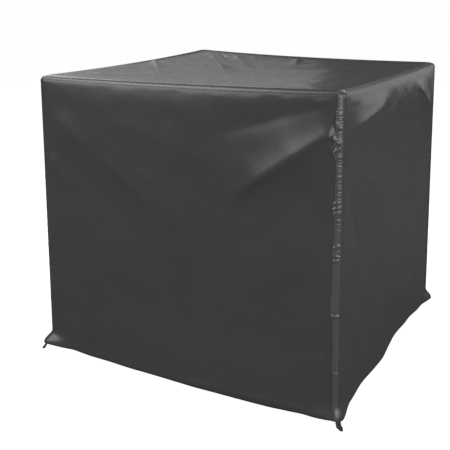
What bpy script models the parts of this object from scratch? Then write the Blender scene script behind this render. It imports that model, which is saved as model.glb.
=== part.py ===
"""Fitted cloth cover for a square outdoor air conditioner, open underneath.

Units are metres and +Z is up. The origin lies under the middle of the top cloth, where the
covered unit carries it. The front wall faces -Y and the right wall faces +X.
"""

import math

import bmesh
import bpy
from mathutils import Vector

# Size of the cover
WIDTH = 0.810
HEIGHT = 0.750
SHEET = 0.002
FLARE = 0.011

# The rim: each wall rolls over at its top and runs down into a valley, where it meets the top
CREST = 0.027
ROLL_RADIUS = 0.015
ROLL_ANGLES = (0.0, 30.0, 60.0, 90.0)
VALLEY_RUN = 0.008
VALLEY_PARTS = (0.33, 0.67, 1.0)
LEDGE = 0.003
RIM_SAG = 0.003

# The upright corners, seen from above
CORNER_RADIUS = 0.012
LEDGE_CORNER_RADIUS = 0.004
SEAM_STRIP = 0.0015
SEAM_GAP = 0.0003

# The ears at the bottom corners
EAR_HEIGHT = 0.036
EAR_SPREAD = 0.070

# Where the hem's own push dies out above it, and where the folds die out under the rim
HEM_PUSH_HEIGHT = 0.20
FOLD_START = 0.016
FOLD_FULL = 0.045
FOLD_END = 0.08

# Strips over the upright seams, and the ties under two corners. The shares say how much of its
# pucker a strip has at each place across it, from its free edge to the seam
STRIP_SHEET = 0.001
STRIP_GAP = 0.0004
STRIP_LAP = 0.005
STRIP_TEETH = 0.002
STRIP_END = 0.8
STRIP_SHARES = (1.0, 1.0, 1.0, 0.3, 0.3)
TIE_SHEET = 0.0016

# Places round a corner: the end of the flat, half way and all the way round the bend, the seam
BEND = (1.0, 1.5, 2.0, 3.0)

# Heights of the grid's rows on a wall, as parts of the drop from the roll to the hem
DROPS = (1.0, 0.986, 0.970, 0.951, 0.91, 0.83, 0.73, 0.63, 0.53, 0.44, 0.36, 0.285, 0.21, 0.14, 0.07)
TOP_STEPS = 20

# Each wall: turn about +Z, steps across its flat, bow outward at half height
WALLS = {
    "wall_front": {"turn": 0.0, "steps": 20, "bow": 0.002},
    "wall_right": {"turn": 90.0, "steps": 18, "bow": -0.002},
    "wall_back": {"turn": 180.0, "steps": 10, "bow": 0.003},
    "wall_left": {"turn": 270.0, "steps": 10, "bow": 0.002},
}

# Each corner is at the right end of its wall, seen from outside: its peak, the depth of the
# valley behind the rim, its ear and hem, its strip's puckers and how coarsely they are meshed
CORNERS = {
    "near": {"rise": 0.000, "dip": 0.0070, "ear": 0.010, "drop": 0.004, "pucker": 0.0022,
             "coarse": 1.0},
    "right_back": {"rise": 0.001, "dip": 0.0060, "ear": 0.021, "drop": 0.004, "pucker": 0.0015,
                   "coarse": 3.0},
    "back_left": {"rise": 0.006, "dip": 0.0040, "ear": 0.014, "drop": 0.003, "pucker": 0.0012,
                  "coarse": 3.0},
    "left_front": {"rise": 0.001, "dip": 0.0020, "ear": 0.024, "drop": -0.004, "pucker": 0.0012,
                   "coarse": 3.0},
}

# The cover hangs a little out of true: how far each corner lies from a square box's, at the
# rim and at the hem, as x, y and z
LEANS = {
    "near": {"side": (1, -1), "rim": (0.007, 0.003, 0.004), "hem": (0.009, 0.005, 0.010)},
    "right_back": {"side": (1, 1), "rim": (0.001, -0.003, -0.004), "hem": (0.0, -0.007, 0.003)},
    "back_left": {"side": (-1, 1), "rim": (0.0, 0.004, 0.004), "hem": (0.0, 0.0, -0.005)},
    "left_front": {"side": (-1, -1), "rim": (-0.007, -0.004, -0.004),
                   "hem": (-0.001, 0.0, 0.005)},
}

# Points along each hem: place across the wall, drop below the nominal hem, push outward
HEMS = {
    "wall_front": (
        {"across": -0.86, "drop": 0.000, "push": 0.004},
        {"across": -0.65, "drop": 0.004, "push": 0.006},
        {"across": -0.30, "drop": 0.006, "push": 0.010},
        {"across": 0.15, "drop": 0.008, "push": 0.013},
        {"across": 0.60, "drop": 0.009, "push": 0.011},
        {"across": 0.86, "drop": 0.006, "push": 0.006},
    ),
    "wall_right": (
        {"across": -0.82, "drop": -0.002, "push": -0.002},
        {"across": -0.60, "drop": -0.003, "push": -0.005},
        {"across": -0.22, "drop": -0.001, "push": 0.001},
        {"across": 0.18, "drop": -0.004, "push": -0.008},
        {"across": 0.50, "drop": -0.002, "push": -0.005},
        {"across": 0.82, "drop": 0.002, "push": 0.002},
    ),
    "wall_back": (
        {"across": -0.60, "drop": 0.003, "push": 0.006},
        {"across": -0.10, "drop": 0.006, "push": 0.010},
        {"across": 0.45, "drop": 0.002, "push": -0.003},
        {"across": 0.80, "drop": 0.004, "push": 0.004},
    ),
    "wall_left": (
        {"across": -0.75, "drop": 0.002, "push": 0.003},
        {"across": -0.35, "drop": -0.003, "push": -0.004},
        {"across": 0.10, "drop": 0.004, "push": 0.006},
        {"across": 0.60, "drop": -0.001, "push": -0.002},
    ),
}

# Folds in the walls: a ridge (or a trough, below zero) along a line from one place to another,
# given across the wall and down from the crest, with its width above and below that line and
# the parts of its length over which it swells and dies away
FOLDS = {
    "wall_front": (
        {"from": (0.99, 0.086), "to": (0.42, 0.238), "height": 0.0135, "above": 0.052,
         "below": 0.022, "swell": 0.12, "die": 0.45},
        {"from": (0.97, 0.030), "to": (0.30, 0.105), "height": -0.0040, "above": 0.030,
         "below": 0.035, "swell": 0.15, "die": 0.50},
        {"from": (-0.97, 0.090), "to": (-0.08, 0.318), "height": 0.0095, "above": 0.075,
         "below": 0.036, "swell": 0.15, "die": 0.40},
        {"from": (-0.60, 0.085), "to": (0.30, 0.185), "height": 0.0040, "above": 0.040,
         "below": 0.045, "swell": 0.35, "die": 0.35},
        {"from": (-0.99, 0.185), "to": (-0.80, 0.290), "height": 0.0040, "above": 0.022,
         "below": 0.016, "swell": 0.30, "die": 0.50},
        {"from": (-0.90, 0.180), "to": (-0.30, 0.380), "height": -0.0040, "above": 0.035,
         "below": 0.060, "swell": 0.25, "die": 0.50},
        {"from": (0.98, 0.160), "to": (0.55, 0.340), "height": -0.0045, "above": 0.030,
         "below": 0.060, "swell": 0.25, "die": 0.50},
    ),
    "wall_right": (
        {"from": (-0.98, 0.094), "to": (-0.32, 0.056), "height": 0.0095, "above": 0.024,
         "below": 0.024, "swell": 0.15, "die": 0.40},
        {"from": (-0.95, 0.150), "to": (-0.20, 0.300), "height": 0.0040, "above": 0.045,
         "below": 0.045, "swell": 0.25, "die": 0.50},
        {"from": (0.98, 0.140), "to": (0.50, 0.045), "height": 0.0050, "above": 0.018,
         "below": 0.020, "swell": 0.20, "die": 0.50},
        {"from": (0.98, 0.210), "to": (0.70, 0.090), "height": -0.0030, "above": 0.018,
         "below": 0.030, "swell": 0.20, "die": 0.50},
        {"from": (-0.66, 0.740), "to": (-0.70, 0.560), "height": 0.0040, "above": 0.020,
         "below": 0.025, "swell": 0.15, "die": 0.60},
        {"from": (-0.97, 0.210), "to": (-0.70, 0.380), "height": -0.0040, "above": 0.030,
         "below": 0.035, "swell": 0.25, "die": 0.50},
    ),
    "wall_back": (
        {"from": (-0.97, 0.060), "to": (-0.25, 0.230), "height": 0.0070, "above": 0.060,
         "below": 0.050, "swell": 0.15, "die": 0.45},
        {"from": (0.97, 0.070), "to": (0.20, 0.210), "height": 0.0060, "above": 0.060,
         "below": 0.050, "swell": 0.15, "die": 0.45},
    ),
    "wall_left": (
        {"from": (-0.97, 0.080), "to": (-0.30, 0.260), "height": 0.0070, "above": 0.060,
         "below": 0.050, "swell": 0.15, "die": 0.45},
        {"from": (0.97, 0.055), "to": (0.30, 0.200), "height": 0.0060, "above": 0.055,
         "below": 0.050, "swell": 0.15, "die": 0.45},
    ),
}

# Creases in the top cloth, as places in x and y, with height and width. They swell and die
# away over these parts of their length, and rise in full this steeply inward from the rim
CREASE_SWELL = 0.3
CREASE_DIE = 0.5
CREASE_RISE = 4.0
CREASES = (
    {"from": (-0.37, 0.37), "to": (-0.12, 0.10), "height": 0.0045, "width": 0.030},
    {"from": (-0.30, 0.38), "to": (-0.06, 0.16), "height": -0.0040, "width": 0.030},
    {"from": (-0.37, 0.10), "to": (-0.12, -0.24), "height": 0.0040, "width": 0.030},
    {"from": (0.36, -0.36), "to": (0.14, -0.12), "height": 0.0030, "width": 0.035},
    {"from": (0.36, 0.35), "to": (0.14, 0.13), "height": 0.0030, "width": 0.035},
    {"from": (-0.02, 0.37), "to": (0.03, 0.20), "height": 0.0025, "width": 0.030},
    {"from": (-0.36, -0.35), "to": (-0.20, -0.16), "height": 0.0025, "width": 0.035},
)

# Zones of a corner strip, from this far down the wall: row spacing, share of the corner's pucker
STRIP_ZONES = (
    {"down": 0.000, "step": 0.020, "pucker": 0.0},
    {"down": 0.045, "step": 0.007, "pucker": 1.0},
    {"down": 0.105, "step": 0.012, "pucker": 0.5},
    {"down": 0.250, "step": 0.035, "pucker": 0.25},
)

# Ties: from the inside of a corner down past the hem. Each step gives the place out from the
# corner, sideways towards the wall's end and down from the hem, and the tie's width and twist
TIES = {
    "tie_near": {"corner": "near", "steps": (
        {"out": -0.0068, "aside": 0.000, "down": -0.014, "width": 0.009, "twist": 0.0},
        {"out": -0.0037, "aside": 0.000, "down": -0.003, "width": 0.009, "twist": 0.0},
        {"out": -0.0030, "aside": -0.001, "down": 0.005, "width": 0.013, "twist": 5.0},
        {"out": -0.0020, "aside": 0.000, "down": 0.011, "width": 0.012, "twist": 12.0},
        {"out": 0.0010, "aside": 0.001, "down": 0.015, "width": 0.015, "twist": 25.0},
        {"out": 0.0040, "aside": 0.005, "down": 0.023, "width": 0.006, "twist": 35.0},
    )},
    "tie_left": {"corner": "left_front", "steps": (
        {"out": -0.0106, "aside": 0.000, "down": -0.012, "width": 0.009, "twist": 0.0},
        {"out": -0.0056, "aside": 0.000, "down": -0.003, "width": 0.009, "twist": 0.0},
        {"out": -0.0045, "aside": -0.001, "down": 0.003, "width": 0.009, "twist": 20.0},
        {"out": -0.0020, "aside": -0.001, "down": 0.009, "width": 0.009, "twist": 60.0},
        {"out": 0.0015, "aside": -0.002, "down": 0.014, "width": 0.009, "twist": 80.0},
        {"out": 0.0030, "aside": -0.003, "down": 0.019, "width": 0.008, "twist": 75.0},
    )},
}

# Finish: coated cloth, dark grey
CLOTH_COLOUR = (0.045, 0.048, 0.048, 1.0)
STRIP_COLOUR = (0.050, 0.053, 0.053, 1.0)
CLOTH_ROUGHNESS = 0.38

# Worked out from the sizes above: the middle of the sheet's half side and roll, the seam with
# the top cloth, and the nominal hem
CORNER_NAMES = tuple(CORNERS)
WALL_NAMES = tuple(WALLS)
HALF = WIDTH / 2 - SHEET / 2
ROLL = ROLL_RADIUS - SHEET / 2
SEAM_INSET = ROLL + VALLEY_RUN + LEDGE
HEM_Z = CREST - HEIGHT


def clamp(value, low=0.0, high=1.0):
    """The value, kept between two limits."""
    return max(low, min(high, value))


def ease(value):
    """A smooth step from 0 to 1, flat at both ends."""
    part = clamp(value)
    return part * part * (3.0 - 2.0 * part)


def corners_of(wall):
    """The corners at the left and right ends of a wall, seen from outside."""
    index = WALL_NAMES.index(wall)
    return CORNERS[CORNER_NAMES[index - 1]], CORNERS[CORNER_NAMES[index]]


def plan_point(half, radius, across):
    """Place along and outward on a square with round corners.

    across runs from -1 to 1 over the flat, on to 2 round the corner's first half, and to 3
    over the short straight strip that ends at the seam.
    """
    reach = abs(across)
    angle = math.pi / 4 * clamp(reach - 1.0)
    strip = SEAM_STRIP * clamp(reach - 2.0)
    flat_end = half - radius - math.sqrt(2.0) * SEAM_STRIP - SEAM_GAP / math.sqrt(2.0)
    along = flat_end * min(reach, 1.0) + radius * math.sin(angle) + strip * math.sqrt(0.5)
    outward = half - radius * (1.0 - math.cos(angle)) - strip * math.sqrt(0.5)
    return math.copysign(along, across), outward


def to_world(wall, along, outward, height):
    """A point given along, outward and up, turned to its wall's side of the cover."""
    turn = math.radians(WALLS[wall]["turn"])
    east = along * math.cos(turn) + outward * math.sin(turn)
    north = along * math.sin(turn) - outward * math.cos(turn)
    return Vector((east, north, height))


def settle(point):
    """A point of the true box, moved with the corners as the cover hangs out of true."""
    down = (CREST - point.z) / HEIGHT
    moved = point.copy()
    for lean in LEANS.values():
        near_x = (1.0 + lean["side"][0] * point.x / (WIDTH / 2)) / 2
        near_y = (1.0 + lean["side"][1] * point.y / (WIDTH / 2)) / 2
        moved += near_x * near_y * Vector(lean["rim"]).lerp(Vector(lean["hem"]), down)
    return moved


def between(wall, across, key):
    """A corner value, carried from one end of a wall to the other."""
    left, right = corners_of(wall)
    return left[key] + (right[key] - left[key]) * (clamp(across, -1.0, 1.0) + 1.0) / 2


def crest_height(wall, across):
    """Height of the rim's crest: peaks at the corners and a little sag between them."""
    left, right = corners_of(wall)
    place = clamp(across, -1.0, 1.0)
    peaks = left["rise"] * ((1.0 - place) / 2) ** 3 + right["rise"] * ((1.0 + place) / 2) ** 3
    return CREST + peaks - RIM_SAG * (1.0 - place * place)


def hem_value(wall, across, key):
    """A hem's drop or push at a place across the wall, smooth between the table's points."""
    left, right = corners_of(wall)
    knots = [(-1.0, left.get(key, 0.0))]
    knots += [(row["across"], row[key]) for row in HEMS[wall]]
    knots += [(1.0, right.get(key, 0.0))]
    place = clamp(across, -1.0, 1.0)
    for (start, low), (end, high) in zip(knots, knots[1:]):
        if place <= end:
            return low + (high - low) * ease((place - start) / (end - start))
    return knots[-1][1]


def ridge(place, start, end, above, below, swell, die):
    """Strength, 0 to 1, of a ridge along the line from start to end at a place."""
    run = (end[0] - start[0], end[1] - start[1])
    length = math.hypot(*run)
    offset = (place[0] - start[0], place[1] - start[1])
    part = (offset[0] * run[0] + offset[1] * run[1]) / (length * length)
    aside = (offset[1] * run[0] - offset[0] * run[1]) / length
    if run[0] < 0:
        aside = -aside
    width = below if aside > 0 else above
    along = ease((part + swell / 2) / swell) * ease((1.0 + die / 2 - part) / die)
    return along * math.exp(-(aside / width) ** 2)


def fold_push(wall, across, down):
    """How far the folds push a wall outward at a place; nothing at its ends and rim."""
    place = (clamp(across, -1.0, 1.0) * HALF, down)
    push = 0.0
    for fold in FOLDS[wall]:
        start = (fold["from"][0] * HALF, fold["from"][1])
        end = (fold["to"][0] * HALF, fold["to"][1])
        push += fold["height"] * ridge(
            place, start, end, fold["above"], fold["below"], fold["swell"], fold["die"])
    at_ends = ease((1.0 - abs(across)) / FOLD_END)
    at_rim = ease((down - FOLD_START) / (FOLD_FULL - FOLD_START))
    return push * at_ends * at_rim


def rim_section(dip):
    """The rim's section from the wall's top inward: inset, and height against the crest."""
    points = []
    for degrees in ROLL_ANGLES:
        angle = math.radians(degrees)
        points.append((ROLL * (1.0 - math.cos(angle)), ROLL * (math.sin(angle) - 1.0)))
    for part in VALLEY_PARTS:
        points.append((ROLL + VALLEY_RUN * part, -dip * ease(part)))
    points.append((ROLL + VALLEY_RUN + LEDGE, -dip))
    return points


def corner_push(wall, across, drop):
    """Push along and outward from the ear at the nearer bottom corner."""
    left, right = corners_of(wall)
    corner = right if across > 0 else left
    above_hem = (1.0 - drop) * HEIGHT
    flat_end = HALF - CORNER_RADIUS
    spread = ease(1.0 - (1.0 - min(abs(across), 1.0)) * flat_end / EAR_SPREAD)
    ear = corner["ear"] * ease(1.0 - above_hem / EAR_HEIGHT) * spread
    return math.copysign(ear * math.sqrt(0.5), across), ear * math.sqrt(0.5)


def wall_point(wall, across, row):
    """A point on a wall's middle surface; row 0 is the hem and the last row meets the top."""
    crest = crest_height(wall, across) - SHEET / 2
    if row >= len(DROPS):
        inset, height = rim_section(between(wall, across, "dip"))[row - len(DROPS)]
        radius = CORNER_RADIUS + (LEDGE_CORNER_RADIUS - CORNER_RADIUS) * inset / SEAM_INSET
        along, outward = plan_point(HALF - inset, radius, across)
        return to_world(wall, along, outward, crest + height)
    drop = DROPS[row]
    top = crest - ROLL
    hem = HEM_Z - hem_value(wall, across, "drop")
    down = ROLL_RADIUS + drop * (HEIGHT - ROLL_RADIUS)
    along, outward = plan_point(HALF + FLARE * drop, CORNER_RADIUS, across)
    flat = 1.0 - clamp(abs(across)) ** 4
    outward += WALLS[wall]["bow"] * flat * math.sin(math.pi * drop)
    outward += fold_push(wall, across, down)
    outward += hem_value(wall, across, "push") * ease(1.0 - (1.0 - drop) * HEIGHT / HEM_PUSH_HEIGHT)
    ear_along, ear_outward = corner_push(wall, across, drop)
    return to_world(wall, along + ear_along, outward + ear_outward, top + (hem - top) * drop)


def flat_stations(steps):
    """Places across the flat of a wall, closer together towards its corners."""
    flat = []
    for step in range(1, steps):
        even = 2.0 * step / steps - 1.0
        flat.append((even + math.sin(even * math.pi / 2)) / 2)
    return flat


def end_stations():
    """Places from a strip's free edge on round the corner to the seam."""
    return [1.0 - (STRIP_LAP + STRIP_TEETH) / HALF] + list(BEND)


def wall_stations(steps):
    """Places across a wall, from seam to seam."""
    ends = end_stations()
    return [-place for place in reversed(ends)] + flat_stations(steps) + ends


def top_edge(wall, across):
    """The top cloth's edge: the wall's inner edge, one gap further in."""
    height = crest_height(wall, across) - SHEET / 2 - between(wall, across, "dip")
    along, outward = plan_point(HALF - SEAM_INSET - SEAM_GAP, LEDGE_CORNER_RADIUS, across)
    if abs(across) > 2.0:
        middle = (abs(along) + outward) / 2
        along, outward = math.copysign(middle, along), middle
    return to_world(wall, along, outward, height)


def sewn_square(side_s, side_t, places_s, places_t):
    """A grid of points that meets four edges: blended across, then up, less the corners."""
    front, back = side_s
    left, right = side_t
    grid = []
    for t_index, t_part in enumerate(places_t):
        line = []
        for s_index, s_part in enumerate(places_s):
            across = left[t_index].lerp(right[t_index], s_part)
            upward = front[s_index].lerp(back[s_index], t_part)
            low = front[0].lerp(front[-1], s_part)
            high = back[0].lerp(back[-1], s_part)
            line.append(across + upward - low.lerp(high, t_part))
        grid.append(line)
    return grid


def top_stations():
    """Places along an edge of the top cloth, with its corners at both ends."""
    return [-BEND[-1], -BEND[0]] + flat_stations(TOP_STEPS - 2) + [BEND[0], BEND[-1]]


def top_points():
    """The top cloth's middle surface as a grid: its edges, its sag and its creases."""
    stations = top_stations()
    edges = {wall: [top_edge(wall, place) for place in stations] for wall in WALL_NAMES}
    front = edges["wall_front"]
    right = edges["wall_right"]
    back = list(reversed(edges["wall_back"]))
    left = list(reversed(edges["wall_left"]))
    span = front[-1].x - front[0].x
    parts = [(point.x - front[0].x) / span for point in front]
    grid = sewn_square((front, back), (left, right), parts, parts)
    middle = TOP_STEPS // 2
    sag = grid[middle][middle].z - SHEET / 2
    ring = abs(grid[1][1].x)
    for line in grid[1:-1]:
        for point in line[1:-1]:
            hang = (1.0 - (point.x / ring) ** 2) * (1.0 - (point.y / ring) ** 2)
            crease = 0.0
            for row in CREASES:
                crease += row["height"] * ridge(
                    (point.x, point.y), row["from"], row["to"],
                    row["width"], row["width"], CREASE_SWELL, CREASE_DIE)
            point.z += crease * ease(hang * CREASE_RISE) - sag * hang
    grid[middle][middle].z = SHEET / 2
    return grid


def strip_rows(coarse):
    """Rows of a corner strip from the hem up.

    Each has the wall row below it, the part of the way from that row to the next one, and the
    share of the corner's pucker.
    """
    rows = []
    levels = DROPS[1:] + (0.0,)
    for row, (lower, upper) in enumerate(zip(levels, levels[1:]), start=1):
        down = ROLL_RADIUS + upper * (HEIGHT - ROLL_RADIUS)
        length = (lower - upper) * (HEIGHT - ROLL_RADIUS)
        zone = [entry for entry in STRIP_ZONES if entry["down"] <= down][-1]
        count = max(1, round(length / (zone["step"] * coarse)))
        for step in range(count):
            rows.append((row, step / count, zone["pucker"] if len(rows) % 2 else 0.0))
    rows.append((len(DROPS) - 1, 1.0, 0.0))
    return rows


def strip_foot(wall, row, part, lap):
    """Points of the wall, as it is meshed, under one row of its strip."""
    low = [wall_point(wall, place, row) for place in end_stations()]
    high = [wall_point(wall, place, row + 1) for place in end_stations()]
    line = [start.lerp(end, part) for start, end in zip(low, high)]
    line[0] = line[1].lerp(line[0], min(1.0, lap / (line[1] - line[0]).length))
    line[-1] = line[-2].lerp(line[-1], STRIP_END)
    return line


def strip_points(wall, pucker, coarse):
    """A corner strip's middle surface: one gap off the wall, and lifted where it puckers."""
    rows = strip_rows(coarse)
    feet = []
    for row, part, raised in rows:
        feet.append(strip_foot(wall, row, part, STRIP_LAP + STRIP_TEETH * raised))
    grid = []
    for index, (_, _, raised) in enumerate(rows):
        below, above = feet[max(index - 1, 0)], feet[min(index + 1, len(feet) - 1)]
        line = []
        for place, foot in enumerate(feet[index]):
            left = feet[index][max(place - 1, 0)]
            right = feet[index][min(place + 1, len(BEND))]
            normal = (right - left).cross(above[place] - below[place]).normalized()
            lift = raised * pucker * STRIP_SHARES[place]
            line.append(foot + normal * ((SHEET + STRIP_SHEET) / 2 + STRIP_GAP + lift))
        grid.append(line)
    return grid


def tie_points(tie):
    """A tie's middle surface: pairs of edge points, one pair for each step down."""
    corner = tie["corner"]
    wall = WALL_NAMES[CORNER_NAMES.index(corner)]
    foot = wall_point(wall, 3.0, 0)
    outward = Vector((foot.x, foot.y, 0.0)).normalized()
    aside = Vector((-outward.y, outward.x, 0.0))
    pairs = []
    for step in tie["steps"]:
        centre = foot + outward * step["out"] + aside * step["aside"]
        centre.z -= step["down"]
        angle = math.radians(step["twist"])
        half = (aside * math.cos(angle) + outward * math.sin(angle)) * step["width"] / 2
        pairs.append((centre - half, centre + half))
    return pairs


def cloth_material(name, colour):
    """Coated cloth with a satin face."""
    material = bpy.data.materials.new(name)
    material.use_nodes = True
    shader = material.node_tree.nodes["Principled BSDF"]
    shader.inputs["Base Color"].default_value = colour
    shader.inputs["Roughness"].default_value = CLOTH_ROUGHNESS
    shader.inputs["Metallic"].default_value = 0.0
    return material


def make_cloth(name, grid, thickness, material, collection):
    """A sheet from a grid of points, whose rows run upward, thickened to both sides."""
    rows = len(grid) - 1
    columns = len(grid[0]) - 1
    mesh = bpy.data.meshes.new(name)
    builder = bmesh.new()
    bmesh.ops.create_grid(builder, x_segments=columns, y_segments=rows, size=0.5)
    for vertex in builder.verts:
        column = round((vertex.co.x + 0.5) * columns)
        row = round((vertex.co.y + 0.5) * rows)
        vertex.co = settle(grid[row][column])
    builder.to_mesh(mesh)
    builder.free()
    mesh.shade_smooth()
    mesh.materials.append(material)
    cloth = bpy.data.objects.new(name, mesh)
    collection.objects.link(cloth)
    solid = cloth.modifiers.new("thickness", "SOLIDIFY")
    solid.thickness = thickness
    solid.offset = 0.0
    solid.use_even_offset = False
    return cloth


def make_walls(collection):
    """The four side cloths, each with its hem below and its roll over the rim above."""
    for name, wall in WALLS.items():
        stations = wall_stations(wall["steps"])
        rows = len(DROPS) + len(rim_section(0.0))
        grid = [[wall_point(name, place, row) for place in stations] for row in range(rows)]
        material = cloth_material(name, CLOTH_COLOUR)
        make_cloth(name, grid, SHEET, material, collection)


def make_top(collection):
    """The top cloth, sewn to the walls in the valley behind the rim."""
    material = cloth_material("top_panel", CLOTH_COLOUR)
    make_cloth("top_panel", top_points(), SHEET, material, collection)


def make_strips(collection):
    """The strips over the four upright seams."""
    for wall, (corner, sizes) in zip(WALL_NAMES, CORNERS.items()):
        name = "strip_" + corner
        material = cloth_material(name, STRIP_COLOUR)
        points = strip_points(wall, sizes["pucker"], sizes["coarse"])
        make_cloth(name, points, STRIP_SHEET, material, collection)


def make_ties(collection):
    """The loose tie ends under the two front corners."""
    for name, tie in TIES.items():
        grid = [list(pair) for pair in reversed(tie_points(tie))]
        material = cloth_material(name, STRIP_COLOUR)
        make_cloth(name, grid, TIE_SHEET, material, collection)


def main():
    """Clear the scene and build the cover."""
    for old in list(bpy.data.objects):
        bpy.data.objects.remove(old, do_unlink=True)
    collection = bpy.data.collections.new("air_conditioner_cover")
    bpy.context.scene.collection.children.link(collection)
    make_walls(collection)
    make_top(collection)
    make_strips(collection)
    make_ties(collection)


main()
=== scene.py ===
import math

import bmesh
import bpy
import numpy as np
from mathutils import Matrix, Vector


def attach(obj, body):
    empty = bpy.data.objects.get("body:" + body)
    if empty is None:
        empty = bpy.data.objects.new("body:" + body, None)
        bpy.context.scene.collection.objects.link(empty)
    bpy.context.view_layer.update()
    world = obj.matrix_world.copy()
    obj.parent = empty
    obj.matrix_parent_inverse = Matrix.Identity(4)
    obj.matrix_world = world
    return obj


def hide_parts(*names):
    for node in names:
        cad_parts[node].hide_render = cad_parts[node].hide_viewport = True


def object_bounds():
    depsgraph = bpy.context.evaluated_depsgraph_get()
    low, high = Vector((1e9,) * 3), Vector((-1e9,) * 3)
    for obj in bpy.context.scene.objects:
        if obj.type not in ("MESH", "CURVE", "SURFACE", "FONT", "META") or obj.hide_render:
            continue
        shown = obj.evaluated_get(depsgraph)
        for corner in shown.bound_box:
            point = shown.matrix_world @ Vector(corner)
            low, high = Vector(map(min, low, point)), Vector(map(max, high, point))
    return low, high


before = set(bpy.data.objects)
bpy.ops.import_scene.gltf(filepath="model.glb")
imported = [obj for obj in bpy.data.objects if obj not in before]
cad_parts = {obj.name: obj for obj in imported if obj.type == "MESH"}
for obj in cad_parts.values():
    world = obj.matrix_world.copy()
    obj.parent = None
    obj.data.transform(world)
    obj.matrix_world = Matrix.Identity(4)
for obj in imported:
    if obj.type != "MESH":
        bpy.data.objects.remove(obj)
cad_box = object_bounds()

# Everything is in metres, +Z up, with the origin under the middle of the top cloth. The front
# wall faces -Y and the right wall +X.

# Camera: where it stands, how it is turned, its lens on a square 36 mm sensor, how far its
# picture is shifted, and how near it sees
CAMERA_PLACE = (0.9382, -1.8726, 0.2289)
CAMERA_YAW = -28.784
CAMERA_PITCH = 12.920
CAMERA_ROLL = 0.299
SENSOR = 36.0
PICTURE_PIXELS = 450
FOCAL_PIXELS = 752.6
HORIZON_SHIFT_PIXELS = 60.0
CAMERA_CLIP = 0.05

# Size of the cover, as its solids have it, and the powers that the rim's peaks and the walls'
# bow die away with
WIDTH = 0.810
HEIGHT = 0.750
SHEET = 0.002
FLARE = 0.011
CREST = 0.027
ROLL_RADIUS = 0.015
VALLEY_RUN = 0.008
LEDGE = 0.003
RIM_SAG = 0.003
PEAK_POWER = 3
BOW_POWER = 4
CORNER_RADIUS = 0.012
LEDGE_CORNER_RADIUS = 0.004
SEAM_STRIP = 0.0015
SEAM_GAP = 0.0003
EAR_HEIGHT = 0.036
EAR_SPREAD = 0.070
HEM_PUSH_HEIGHT = 0.20
STRIP_SHEET = 0.001
STRIP_GAP = 0.0004
TIE_SHEET = 0.0016
HALF = WIDTH / 2 - SHEET / 2
ROLL = ROLL_RADIUS - SHEET / 2
SEAM_INSET = ROLL + VALLEY_RUN + LEDGE
HEM_Z = CREST - HEIGHT

# The cloths' and the strips' thickness in the render
FINE_SHEET = 0.0016
FINE_STRIP_SHEET = 0.8 * STRIP_SHEET

# Where folds and fine wrinkles begin below the crest, where they have their full height, and
# how near a wall's ends, as a share of its half width, they die away
FOLD_START = 0.016
FOLD_FULL = 0.045
FOLD_END = 0.035
WRINKLE_START = 0.010
WRINKLE_FULL = 0.020
WRINKLE_END = 0.025

# A ridge fans out from a share of its width, over a share of its length. Its slope dies away
# over a share of its width, and its crest is rounded over a blunt distance.
FAN_START = 0.40
FAN_LENGTH = 0.45
RIDGE_FALL = 0.8
FOLD_BLUNT = 0.008
WRINKLE_BLUNT = 0.002
CREASE_BLUNT = 0.015
FINE_CREASE_BLUNT = 0.003

# The soft shoulder below the rim: how far it stands out, how soon it does, and where it ends
SHOULDER_PUSH = 0.0052
SHOULDER_RISE = 0.018
SHOULDER_FALL = 0.300

# Unevenness: its height on the walls and the top, and its waves' mean length, how far their
# lengths vary, and their number
UNEVEN_HEIGHT = 0.00035
TOP_UNEVEN_HEIGHT = 1.5 * UNEVEN_HEIGHT
UNEVEN_LENGTH = 0.11
UNEVEN_RANGE = (0.5, 1.7)
UNEVEN_WAVES = 16
TOP_SEED = 17

# The hem's turned-up band: its height, how far it stands out, and over what height it does so
HEM_BAND = 0.020
HEM_STEP = 0.0005
HEM_STEP_RUN = 0.002

# Grids: how far a wall's columns and the top's crowd towards their ends, the columns round half
# a corner's bend, the rows of the roll and of the valley, and the last ones at the seams
WALL_CROWDING = 0.35
TOP_CROWDING = 0.3
TOP_COLUMNS = 190
BEND_COLUMNS = 6
ROLL_ROWS = 8
VALLEY_ROWS = 8
SEAM_PLACES = (2.5, 3.0)

# Each wall: turn about +Z, columns and rows of its grid, bow outward at half height, random seed
WALLS = {
    "wall_front": {"turn": 0.0, "columns": 230, "rows": 165, "bow": 0.002, "seed": 3},
    "wall_right": {"turn": 90.0, "columns": 170, "rows": 150, "bow": -0.002, "seed": 5},
    "wall_back": {"turn": 180.0, "columns": 120, "rows": 100, "bow": 0.003, "seed": 7},
    "wall_left": {"turn": 270.0, "columns": 120, "rows": 100, "bow": 0.002, "seed": 11},
}

# Each corner is at the right end of its wall, seen from outside: its peak, the depth of the
# valley behind the rim, and its ear and hem
CORNERS = {
    "near": {"rise": 0.000, "dip": 0.0070, "ear": 0.010, "drop": 0.004},
    "right_back": {"rise": 0.001, "dip": 0.0060, "ear": 0.021, "drop": 0.004},
    "back_left": {"rise": 0.006, "dip": 0.0040, "ear": 0.014, "drop": 0.003},
    "left_front": {"rise": 0.001, "dip": 0.0020, "ear": 0.024, "drop": -0.004},
}
CORNER_NAMES = tuple(CORNERS)
WALL_NAMES = tuple(WALLS)

# How far each corner lies from a square box's, at the rim and at the hem, as x, y and z
LEANS = (
    {"side": (1, -1), "rim": (0.007, 0.003, 0.004), "hem": (0.009, 0.005, 0.010)},
    {"side": (1, 1), "rim": (0.001, -0.003, -0.004), "hem": (0.0, -0.007, 0.003)},
    {"side": (-1, 1), "rim": (0.0, 0.004, 0.004), "hem": (0.0, 0.0, -0.005)},
    {"side": (-1, -1), "rim": (-0.007, -0.004, -0.004), "hem": (-0.001, 0.0, 0.005)},
)

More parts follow.
